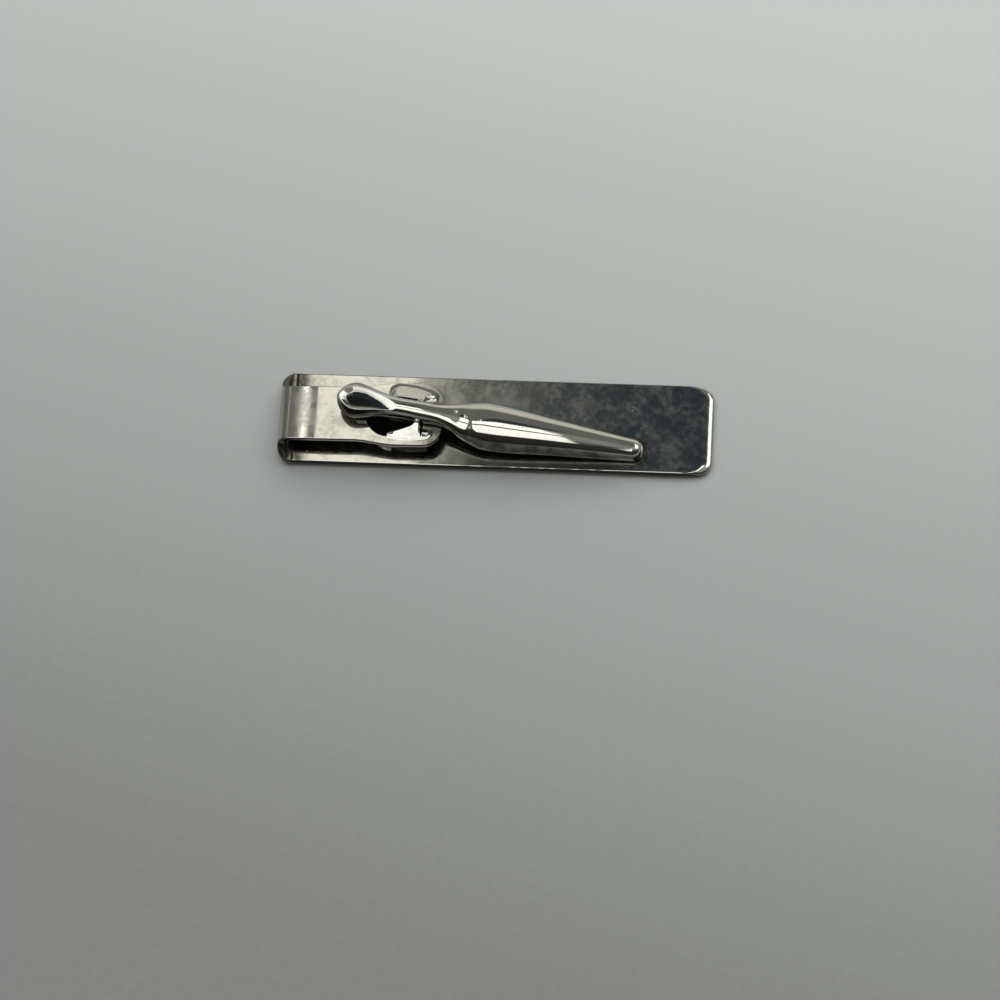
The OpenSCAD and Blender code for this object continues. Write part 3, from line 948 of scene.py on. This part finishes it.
        # Painted shade: the lower flanks, the near side most, and the whole inner skin are
        # darkened.
        near = smooth(*self.near_side, rings[..., 1])
        far_flank = self.far_flank_shade * (1.0 - smooth(*self.far_crown, share))
        shade_paint = mixed(far_flank, 1.0 - smooth(*self.near_crown, share), near)
        shade_paint[:, self.arc_steps + 1 :] = 1.0
        return Surface.from_grid(self.hinge.to_clip(rings), plan, edge, shade_paint, wrap_columns=True)

    def build(self) -> bpy.types.Object:
        """Makes the lever in place of its faceted solid."""
        piece = self.surface().to_object("pressed_lever")
        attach(piece, "lever")
        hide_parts("lever")
        return piece


@dataclass
class HingePin:
    """The pin between the two ears, with slightly domed ends."""

    hinge: HingeFrame
    radius: float = 0.35
    reach: float = 1.35
    dome: float = 0.03
    end_wear: float = 0.2
    sides: int = 48

    def surface(self) -> Surface:
        """The pin as a turned profile: a straight side and two shallow elliptical ends."""
        turn = np.radians(np.linspace(0.0, 90.0, 8))
        end_r = self.radius * np.sin(turn)
        end_v = self.reach + self.dome * np.cos(turn)
        middle = np.linspace(self.reach, -self.reach, 9)[1:-1]
        along = np.concatenate([end_v, middle, -end_v[::-1]])
        radius = np.concatenate([end_r, np.full(len(middle), self.radius), end_r[::-1]])
        round_it = np.linspace(0.0, 2.0 * math.pi, self.sides, endpoint=False)[None]
        points = np.stack([
            radius[:, None] * np.cos(round_it),
            along[:, None] * np.ones_like(round_it),
            radius[:, None] * np.sin(round_it),
        ], axis=-1)
        plan = np.stack(np.broadcast_arrays(along[:, None], self.radius * round_it), axis=-1)
        edge = np.exp(-np.maximum(self.reach - np.abs(along), 0.0) / self.end_wear)[:, None]
        edge = edge * np.ones_like(round_it)
        return Surface.from_grid(self.hinge.to_clip(points), plan, edge, wrap_columns=True)

    def build(self) -> bpy.types.Object:
        """Makes the pin in place of its plain rod."""
        piece = self.surface().to_object("domed_pin")
        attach(piece, "body")
        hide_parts("hinge_pin")
        return piece


@dataclass
class LeafSpring:
    """The strip that closes the lever: one leg on the strap, round the pin, one under the pad."""

    hinge: HingeFrame
    thickness: float = 0.15
    width: float = 0.7
    corner: float = 0.05
    wrap_r: float = 0.455
    foot: tuple[float, float] = (-7.4, -0.995)
    tip: tuple[float, float] = (-5.8, 1.225)
    blend_half: float = 0.34
    leg_bow: float = 0.05
    length: float = 15.0
    edge_wear: Span = (0.2, 0.35)

    def path(self) -> np.ndarray:
        """The strip's middle line, (u, w): a leg in, half a turn round the pin, a leg out."""
        turn = np.radians(np.linspace(-90.0, 90.0, 36))
        wrap = np.stack([self.wrap_r * np.cos(turn), self.wrap_r * np.sin(turn)], axis=1)
        share = np.linspace(0.0, 1.0, 30)[:-1, None]
        lower = mixed(np.array([self.foot]), wrap[:1], share)
        upper = mixed(wrap[-1:], np.array([self.tip]), 1.0 - share[::-1])
        lower[:, 1] += self.leg_bow * np.sin(math.pi * share[:, 0])
        upper[:, 1] -= self.leg_bow * np.sin(math.pi * share[::-1, 0])
        return resampled(np.concatenate([lower, wrap, upper[1:]]), 140)

    def section(self) -> np.ndarray:
        """The strip's section, (across, out): a rectangle with rounded corners."""
        half_w, half_t = self.width / 2.0 - self.corner, self.thickness / 2.0 - self.corner
        turn = np.radians(np.linspace(0.0, 360.0, 24, endpoint=False) + 7.5)
        return np.stack([
            np.sign(np.cos(turn)) * half_w + self.corner * np.cos(turn),
            np.sign(np.sin(turn)) * half_t + self.corner * np.sin(turn),
        ], axis=1)

    def surface(self) -> Surface:
        """The section carried along the path, each end drawn together to a point."""
        line = self.path()
        out = left_normals(line, closed=False)
        section = self.section()
        size = np.ones(len(line) + 2)
        size[[0, -1]] = 0.0
        line = np.concatenate([line[:1], line, line[-1:]])
        out = np.concatenate([out[:1], out, out[-1:]])
        across = section[None, :, 0] * size[:, None]
        outward = section[None, :, 1] * size[:, None]
        points = np.stack([
            line[:, :1] + out[:, :1] * outward,
            across,
            line[:, 1:] + out[:, 1:] * outward,
        ], axis=-1)
        along = np.linspace(0.0, self.length, len(line))
        plan = np.stack(np.broadcast_arrays(along[:, None], section[None, :, 0]), axis=-1)
        edge = np.broadcast_to(smooth(*self.edge_wear, np.abs(section[:, 0])), across.shape)
        return Surface.from_grid(self.hinge.to_clip(points), plan, edge.copy(), wrap_columns=True)

    def build(self) -> bpy.types.Object:
        """Makes the spring in place of its plain solid."""
        piece = self.surface().to_object("wrapped_leaf")
        lift = Vector((0.0, 0.0, self.blend_half * MM))
        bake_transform(piece)
        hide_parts("leaf_spring")
        return piece


class Wire:
    """A value on its way through a material. Sums written with it add Math nodes."""

    def __init__(self, graph: "Graph", socket: bpy.types.NodeSocket) -> None:
        """Wraps a socket of the graph's tree."""
        self.graph = graph
        self.socket = socket

    def sum_with(self, operation: str, *values: object) -> "Wire":
        """Adds one Math node.

        Args:
            operation: The node's operation.
            values: Its inputs in order, wires or numbers.

        Returns:
            The node's result.
        """
        return self.graph.node("ShaderNodeMath", {"operation": operation}, dict(enumerate(values)))

    def __add__(self, other: object) -> "Wire":
        """This plus other."""
        return self.sum_with("ADD", self, other)

    def __radd__(self, other: object) -> "Wire":
        """Other plus this."""
        return self.sum_with("ADD", other, self)

    def __sub__(self, other: object) -> "Wire":
        """This less other."""
        return self.sum_with("SUBTRACT", self, other)

    def __rsub__(self, other: object) -> "Wire":
        """Other less this."""
        return self.sum_with("SUBTRACT", other, self)

    def __mul__(self, other: object) -> "Wire":
        """This times other."""
        return self.sum_with("MULTIPLY", self, other)

    def __rmul__(self, other: object) -> "Wire":
        """Other times this."""
        return self.sum_with("MULTIPLY", other, self)

    def __truediv__(self, other: object) -> "Wire":
        """This over other."""
        return self.sum_with("DIVIDE", self, other)

    def at_most(self, other: object) -> "Wire":
        """The lesser of this and other."""
        return self.sum_with("MINIMUM", self, other)

    def at_least(self, other: object) -> "Wire":
        """The greater of this and other."""
        return self.sum_with("MAXIMUM", self, other)

    def step(self, low: float, high: float) -> "Wire":
        """Rises smoothly from 0 where this is low to 1 where it is high."""
        return self.graph.node(
            "ShaderNodeMapRange",
            {"interpolation_type": "SMOOTHSTEP"},
            {"Value": self, "From Min": low, "From Max": high, "To Min": 0.0, "To Max": 1.0},
        )


class Graph:
    """The nodes of one material or world."""

    def __init__(self, tree: bpy.types.NodeTree) -> None:
        """Takes a node tree and empties it."""
        self.tree = tree
        tree.nodes.clear()

    def node(
        self,
        kind: str,
        settings: dict[str, object] | None = None,
        inputs: dict[object, object] | None = None,
        output: object = 0,
    ) -> Wire:
        """Adds any node.

        Args:
            kind: The node's type.
            settings: Its own settings, set first.
            inputs: Values or wires by socket name or number.
            output: Which output the wire comes from.

        Returns:
            A wire from that output.
        """
        new = self.tree.nodes.new(kind)
        for name, value in (settings or {}).items():
            setattr(new, name, value)
        for name, value in (inputs or {}).items():
            if isinstance(value, Wire):
                self.tree.links.new(value.socket, new.inputs[name])
            elif isinstance(value, tuple) and len(value) == 3 and new.inputs[name].type == "RGBA":
                new.inputs[name].default_value = (*value, 1.0)
            else:
                new.inputs[name].default_value = value
        return Wire(self, new.outputs[output] if len(new.outputs) else None)

    def place(
        self, stretch: tuple[float, float, float] = (1.0, 1.0, 1.0), turn: float = 0.0,
    ) -> Wire:
        """The place on the object in millimetres, turned about Z and then stretched."""
        spot = self.node("ShaderNodeTexCoord", output="Object")
        turned = self.node("ShaderNodeMapping", {"vector_type": "TEXTURE"},
                           {"Vector": spot, "Rotation": (0.0, 0.0, turn)})
        scale = tuple(part / MM for part in stretch)
        return self.node("ShaderNodeMapping", {"vector_type": "POINT"},
                         {"Vector": turned, "Scale": scale})

    def noise(self, place: Wire, scale: float, detail: float = 3.0, rough: float = 0.55) -> Wire:
        """Cloudy noise about 0.5, with so many clouds to the unit of place."""
        return self.node(
            "ShaderNodeTexNoise", None,
            {"Vector": place, "Scale": scale, "Detail": detail, "Roughness": rough},
        )

    def mix(self, share: object, a: object, b: object) -> Wire:
        """A colour that goes from a to b as share goes from 0 to 1."""
        return self.node("ShaderNodeMix", {"data_type": "RGBA"},
                         {"Factor": share, 6: a, 7: b}, output=2)

    def value_at(self, name: str) -> Wire:
        """A value kept on the mesh's corners."""
        return self.node("ShaderNodeAttribute", {"attribute_name": name}, output="Fac")


@dataclass(frozen=True)
class WornPolish:
    """Polished plated steel that has been handled: clouded, stained and lightly scratched.

    Attributes:
        name: The material's name.
        clean: Colour of the clean polish.
        stained: Colour where it is clouded.
        gloss: Roughness of the clean polish.
        haze: Roughness where it is clouded.
        cloud_mm: Size of the clouds.
        mottle: How strongly the fine mottling shows.
        film: How much of a dull film lies on the clouds.
        fold_wear: How strongly the fold is worn, past the fold's start.
        ripple_mm: Height of the slow ripples in the sheet.
        grain_mm: Height of the fine unevenness of the polish.
        rub_turn: Direction of the rubbing marks, in radians.
        shade_tone: Colour of the painted shade that the shelter value mixes in.
        speck_tone: Colour of the dark specks.
        worn_tone: Colour of the worn fold.
    """

    name: str
    clean: Colour
    stained: Colour
    gloss: float
    haze: float
    cloud_mm: float
    mottle: float
    film: float
    fold_wear: float
    ripple_mm: float
    grain_mm: float
    rub_turn: float
    shade_tone: Colour = (0.058, 0.052, 0.042)
    speck_tone: Colour = (0.035, 0.033, 0.03)
    worn_tone: Colour = (0.2, 0.19, 0.165)

    def scratches(self, graph: Graph, turn: float, fine: float, amount: float) -> Wire:
        """Thin straight scratches in one direction.

        Args:
            graph: The material's nodes.
            turn: Their direction, in radians.
            fine: How many would lie side by side in a millimetre.
            amount: Share of them that shows.

        Returns:
            1 on a scratch and 0 off it: noise drawn out along one direction, cut off high.
        """
        streak = graph.noise(graph.place((0.3, fine, fine), turn), 1.0, 2.0, 0.5)
        gate = graph.noise(graph.place(), 0.45, 1.0, 0.5).step(0.66 - amount, 0.8 - amount)
        return streak.step(0.6, 0.72) * gate

    def material(self) -> bpy.types.Material:
        """Builds the material's nodes."""
        material = bpy.data.materials.new(self.name)
        material.use_nodes = True
        graph = Graph(material.node_tree)
        place = graph.place()
        cloud = graph.noise(place, 1.0 / self.cloud_mm, 5.0, 0.62)
        fine = graph.noise(place, 1.5, 4.0, 0.6)
        mottle = (cloud * 0.6 + fine * 0.4).step(0.4, 0.64)
        edge = graph.value_at("edge")
        marks = self.scratches(graph, self.rub_turn, 5.0, 0.16)
        marks = marks.at_least(self.scratches(graph, self.rub_turn + 0.5, 7.0, 0.08) * 0.6)
        specks = graph.node("ShaderNodeTexVoronoi", {"feature": "F1"},
                            {"Vector": place, "Scale": 0.85, "Randomness": 1.0}, output="Distance")
        specks = 1.0 - specks.step(0.05, 0.09)
        specks = specks * graph.noise(place, 0.6, 1.0, 0.5).step(0.52, 0.58)
        rubbed = edge * graph.noise(place, 1.4, 3.0, 0.6).step(0.35, 0.55)
        stain = (mottle * self.mottle - rubbed * 0.6).at_least(0.0)
        colour = graph.mix(stain, self.clean, self.stained)
        # Painted shade: the shelter value darkens the colour towards shade_tone and roughens it a
        # little.
        shade_mix = graph.value_at("shade_paint") * (0.8 + 0.2 * mottle)
        colour = graph.mix(shade_mix, colour, self.shade_tone)
        colour = graph.mix(specks * 0.85, colour, self.speck_tone)
        rough = self.gloss + (self.haze - self.gloss) * mottle + marks * 0.04 + specks * 0.35
        rough = rough + shade_mix * 0.05
        if self.fold_wear:
            along = graph.node("ShaderNodeSeparateXYZ", None, {"Vector": place}, output="X")
            streak = graph.noise(graph.place((4.5, 0.12, 4.5)), 1.0, 3.0, 0.55).step(0.35, 0.65)
            worn = (1.0 - along.step(FOLD_WORN_X, FOLD_WORN_X + FOLD_WORN_RUN)) * self.fold_wear
            colour = graph.mix(worn * (0.35 + 0.3 * streak), colour, self.worn_tone)
            rough = rough + worn * (0.08 + 0.16 * streak)
        rough = (rough - rubbed * 0.04).at_least(0.05)
        ripples = graph.noise(place, 0.21, 1.0, 0.4) * self.ripple_mm
        grain = graph.noise(place, 1.7, 2.0, 0.5) * self.grain_mm
        height = (ripples + grain - marks * 0.0001 - specks * 0.004) * MM
        normal = graph.node("ShaderNodeBump", None,
                            {"Height": height, "Strength": 1.0, "Distance": 1.0})
        shader = graph.node(
            "ShaderNodeBsdfPrincipled", None,
            {"Base Color": colour, "Roughness": rough, "Metallic": 1.0 - self.film * mottle,
             "Normal": normal},
        )
        graph.node("ShaderNodeOutputMaterial", None, {"Surface": shader})
        return material


@dataclass(frozen=True)
class TableTop:
    """Plain pale laminate with a faint fine tooth and a painted light falloff."""

    name: str = "pale_table"
    far_tone: Colour = (0.60, 0.63, 0.62)
    near_tone: Colour = (0.255, 0.262, 0.256)
    tooth_tone: Colour = (0.62, 0.62, 0.6)
    span: float = 62.0
    roughness: float = 0.62

    def material(self) -> bpy.types.Material:
        """Builds the material's nodes: the colour pales away from the near left, a painted light
        falloff.
        """
        material = bpy.data.materials.new(self.name)
        material.use_nodes = True
        graph = Graph(material.node_tree)
        place = graph.place()
        x, y = (graph.node("ShaderNodeSeparateXYZ", None, {"Vector": place}, output=axis)
                for axis in ("X", "Y"))
        # Painted light falloff: darker at the near left, paler towards the far side.
        pale = (x * 0.28 + y) / (2.0 * self.span) + 0.5
        tooth = graph.noise(place, 1.1, 4.0, 0.7)
        colour = graph.mix(pale.at_least(0.0).at_most(1.0), self.near_tone, self.far_tone)
        colour = graph.mix(tooth.step(0.35, 0.75) * 0.05, colour, self.tooth_tone)
        bump = graph.node("ShaderNodeBump", None,
                          {"Height": tooth * (0.012 * MM), "Strength": 1.0, "Distance": 1.0})
        shader = graph.node(
            "ShaderNodeBsdfPrincipled", None,
            {"Base Color": colour, "Roughness": self.roughness, "Normal": bump,
             "Specular IOR Level": 0.25},
        )
        graph.node("ShaderNodeOutputMaterial", None, {"Surface": shader})
        return material


class PanelRole(Enum):
    """What each studio light is there for."""

    WINDOW = "pane of the near window, over the lever's near side"
    SIDE = "pane of the side window, over the fold"
    RIM = "pane of the window past the free end, over the bar's end"
    FILL = "broad soft light over the far side, for the table and the film on the metal"


@dataclass(frozen=True)
class SoftPanel:
    """A level soft light at the studio's ceiling.

    Attributes:
        role: What it is there for.
        low: Its lowest x and y, in millimetres.
        high: Its highest x and y.
        glow: How bright its face is, where 1 is white.
        colour: The light's colour.
        height: How high it hangs.
    """

    role: PanelRole
    low: tuple[float, float]
    high: tuple[float, float]
    glow: float
    colour: Colour = (1.0, 1.0, 1.0)
    height: float = 1000.0

    def build(self) -> bpy.types.Object:
        """Makes the light. Its power is its glow times pi times its area."""
        name = self.role.name.lower()
        lamp = bpy.data.lights.new(name, "AREA")
        lamp.shape = "RECTANGLE"
        lamp.size = (self.high[0] - self.low[0]) * MM
        lamp.size_y = (self.high[1] - self.low[1]) * MM
        lamp.energy = self.glow * math.pi * lamp.size * lamp.size_y
        lamp.color = self.colour
        light = bpy.data.objects.new(name, lamp)
        light.visible_glossy = self.role is not PanelRole.FILL
        light.visible_diffuse = self.role is PanelRole.FILL
        light.location = (
            (self.low[0] + self.high[0]) / 2.0 * MM,
            (self.low[1] + self.high[1]) / 2.0 * MM,
            self.height * MM,
        )
        bpy.context.scene.collection.objects.link(light)
        return light


@dataclass(frozen=True)
class RoomPatch:
    """One soft-edged patch of the room, as it would look on the ceiling.

    Attributes:
        low: Its lowest x and y on a ceiling one unit up.
        high: Its highest x and y there.
        tone: Its colour.
        blur: Half the width of its edges.
    """

    low: tuple[float, float]
    high: tuple[float, float]
    tone: Colour
    blur: float = 0.05

    def laid_on(self, graph: Graph, under: Wire, across: Wire, away: Wire) -> Wire:
        """Mixes the patch over what lies under it.

        Args:
            graph: The world's nodes.
            under: The colour so far.
            across: x on the ceiling.
            away: y on the ceiling.

        Returns:
            The colour with the patch, whose share is a smooth step at each of its four sides.
        """
        share = across.step(self.low[0] - self.blur, self.low[0] + self.blur)
        share = share * (1.0 - across.step(self.high[0] - self.blur, self.high[0] + self.blur))
        share = share * away.step(self.low[1] - self.blur, self.low[1] + self.blur)
        share = share * (1.0 - away.step(self.high[1] - self.blur, self.high[1] + self.blur))
        return graph.mix(share, under, self.tone)


@dataclass(frozen=True)
class PhotoCamera:
    """The camera at the photograph's angle.

    Attributes:
        tilt: How far it leans from straight above to the near side, in degrees.
        lean: How far it leans to the free end's side, in degrees.
        turn: How far it is turned about its own axis, in degrees.
        offset: Where the clip's origin lies in the camera's own axes, in millimetres.
        focal: Focal length, on a picture 36 mm wide.
    """

    tilt: float = 18.5
    lean: float = 5.0
    turn: float = -3.6
    offset: tuple[float, float, float] = (-0.41, 8.59, -404.2)
    focal: float = 126.0

    def build(self) -> bpy.types.Object:
        """Makes the camera and gives it to the scene."""
        view = (
            Matrix.Rotation(math.radians(self.turn), 4, "Z")
            @ Matrix.Rotation(-math.radians(self.tilt), 4, "X")
            @ Matrix.Rotation(-math.radians(self.lean), 4, "Y")
        )
        lens = bpy.data.cameras.new("photo_camera")
        lens.lens = self.focal
        lens.sensor_width = 36.0
        lens.clip_start = 0.01
        lens.clip_end = 20.0
        camera = bpy.data.objects.new("photo_camera", lens)
        shift = Matrix.Translation(Vector(self.offset) * MM)
        camera.matrix_world = (shift @ view).inverted()
        bpy.context.scene.collection.objects.link(camera)
        bpy.context.scene.camera = camera
        return camera


@dataclass
class Studio:
    """The table, the lights, the room round them and the camera."""

    table: TableTop = field(default_factory=TableTop)
    camera: PhotoCamera = field(default_factory=PhotoCamera)
    table_size: float = 3000.0
    panels: tuple[SoftPanel, ...] = (
        SoftPanel(PanelRole.WINDOW, (-600.0, -1000.0), (176.0, -160.0), 1.3, (1.0, 1.0, 0.95)),
        SoftPanel(PanelRole.WINDOW, (-600.0, -60.0), (176.0, 240.0), 1.3, (1.0, 1.0, 0.95)),
        SoftPanel(PanelRole.SIDE, (-190.0, 240.0), (-122.0, 470.0), 0.9, (1.0, 0.96, 0.84)),
        SoftPanel(PanelRole.SIDE, (-279.0, 325.0), (-250.0, 410.0), 2.1, (1.0, 0.96, 0.86)),
        SoftPanel(PanelRole.RIM, (410.0, -60.0), (2000.0, 900.0), 1.3),
        SoftPanel(PanelRole.FILL, (-1200.0, 300.0), (1500.0, 2200.0), 2.95),
    )
    patches: tuple[RoomPatch, ...] = (
        RoomPatch((-30.0, -0.2), (-0.62, 30.0), (0.17, 0.168, 0.15), 0.15),
        RoomPatch((-1.05, -0.6), (-0.8, 2.0), (0.56, 0.56, 0.51)),
        RoomPatch((0.2, -0.5), (0.9, 0.2), (0.3, 0.3, 0.29), 0.1),
        RoomPatch((-0.088, 0.27), (0.2, 0.44), (0.026, 0.034, 0.041), 0.045),
    )
    near_tone: Colour = (0.03, 0.029, 0.025)
    far_tone: Colour = (0.145, 0.15, 0.135)
    near_skirting: Colour = (0.06, 0.058, 0.05)
    far_skirting: Colour = (0.24, 0.245, 0.235)
    far_glow: Colour = (0.62, 0.6, 0.52)

    def build_table(self) -> bpy.types.Object:
        """Makes the flat table under the clip."""
        half = self.table_size / 2.0 * MM
        mesh = bpy.data.meshes.new("table_top")
        corners = [(-half, -half, 0.0), (half, -half, 0.0), (half, half, 0.0), (-half, half, 0.0)]
        mesh.from_pydata(corners, [], [(0, 1, 2, 3)])
        table = bpy.data.objects.new("table_top", mesh)
        table.location.z = -0.02 * MM
        mesh.materials.append(self.table.material())
        bpy.context.scene.collection.objects.link(table)
        return table

    def build_room(self) -> None:
        """Lights the room: grey far away, dark on the near side, with a pale far horizon."""
        world = bpy.data.worlds.new("room")
        world.use_nodes = True
        bpy.context.scene.world = world
        graph = Graph(world.node_tree)
        way = graph.node("ShaderNodeTexCoord", output="Generated")
        x, y, z = (graph.node("ShaderNodeSeparateXYZ", None, {"Vector": way}, output=axis)
                   for axis in ("X", "Y", "Z"))
        level = z.at_least(0.02)
        across, away = x / level, y / level
        far = y.step(-0.72, -0.1)
        colour = graph.mix(far, self.near_tone, self.far_tone)
        for patch in self.patches:
            colour = patch.laid_on(graph, colour, across, away)
        skirting = graph.mix(y.step(-0.6, 0.5), self.near_skirting, self.far_skirting)
        colour = graph.mix(z.step(0.03, 0.1), skirting, colour)
        glow = y.step(0.6, 0.85) * (1.0 - z.step(0.3, 0.55))
        colour = graph.mix(glow, colour, self.far_glow)
        shade = graph.node("ShaderNodeBackground", None, {"Color": colour, "Strength": 1.0})
        graph.node("ShaderNodeOutputWorld", None, {"Surface": shade})

    def build(self) -> None:
        """Makes the whole studio."""
        self.build_table()
        self.build_room()
        for panel in self.panels:
            panel.build()
            LOG.info("light %s: %s", panel.role.name.lower(), panel.role.value)
        self.camera.build()
        bpy.context.scene.view_settings.view_transform = "Standard"


SHEET_POLISH = WornPolish(
    name="worn_sheet_polish", clean=(0.74, 0.735, 0.69), stained=(0.56, 0.56, 0.52), gloss=0.065,
    haze=0.12, cloud_mm=3.0, mottle=0.7, film=0.07, fold_wear=1.0, ripple_mm=0.012,
    grain_mm=0.0009, rub_turn=1.5,
)
LEVER_POLISH = WornPolish(
    name="worn_lever_polish", clean=(0.74, 0.73, 0.70), stained=(0.60, 0.58, 0.54), gloss=0.055,
    haze=0.08, cloud_mm=2.4, mottle=0.4, film=0.0, fold_wear=0.0, ripple_mm=0.004,
    grain_mm=0.0005, rub_turn=0.05,
)
PIN_STEEL = WornPolish(
    name="pin_steel_finish", clean=(0.64, 0.63, 0.61), stained=(0.36, 0.34, 0.31), gloss=0.2,
    haze=0.36, cloud_mm=0.8, mottle=0.8, film=0.1, fold_wear=0.0, ripple_mm=0.002,
    grain_mm=0.001, rub_turn=0.1,
)
SPRING_STEEL = WornPolish(
    name="blued_spring_finish", clean=(0.36, 0.38, 0.43), stained=(0.24, 0.22, 0.21), gloss=0.28,
    haze=0.42, cloud_mm=1.1, mottle=0.9, film=0.15, fold_wear=0.0, ripple_mm=0.001,
    grain_mm=0.001, rub_turn=0.0,
)


def main() -> None:
    """Builds the studio and the clip and dresses each piece."""
    logging.basicConfig(level=logging.INFO, format="%(name)s: %(message)s")
    low, high = (np.array(corner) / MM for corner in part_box("clip_body"))
    hinge = HingeFrame.from_record("lever_hinge")
    Studio().build()
    dressed = (
        (FoldedSheet(hinge, low, high), SHEET_POLISH),
        (PressedLever(hinge), LEVER_POLISH),
        (HingePin(hinge), PIN_STEEL),
        (LeafSpring(hinge), SPRING_STEEL),
    )
    for maker, finish in dressed:
        piece = maker.build()
        piece.data.materials.append(finish.material())
        LOG.info("%s: %d faces, finish %s", piece.name, len(piece.data.polygons), finish.name)


if __name__ == "__main__":
    main()
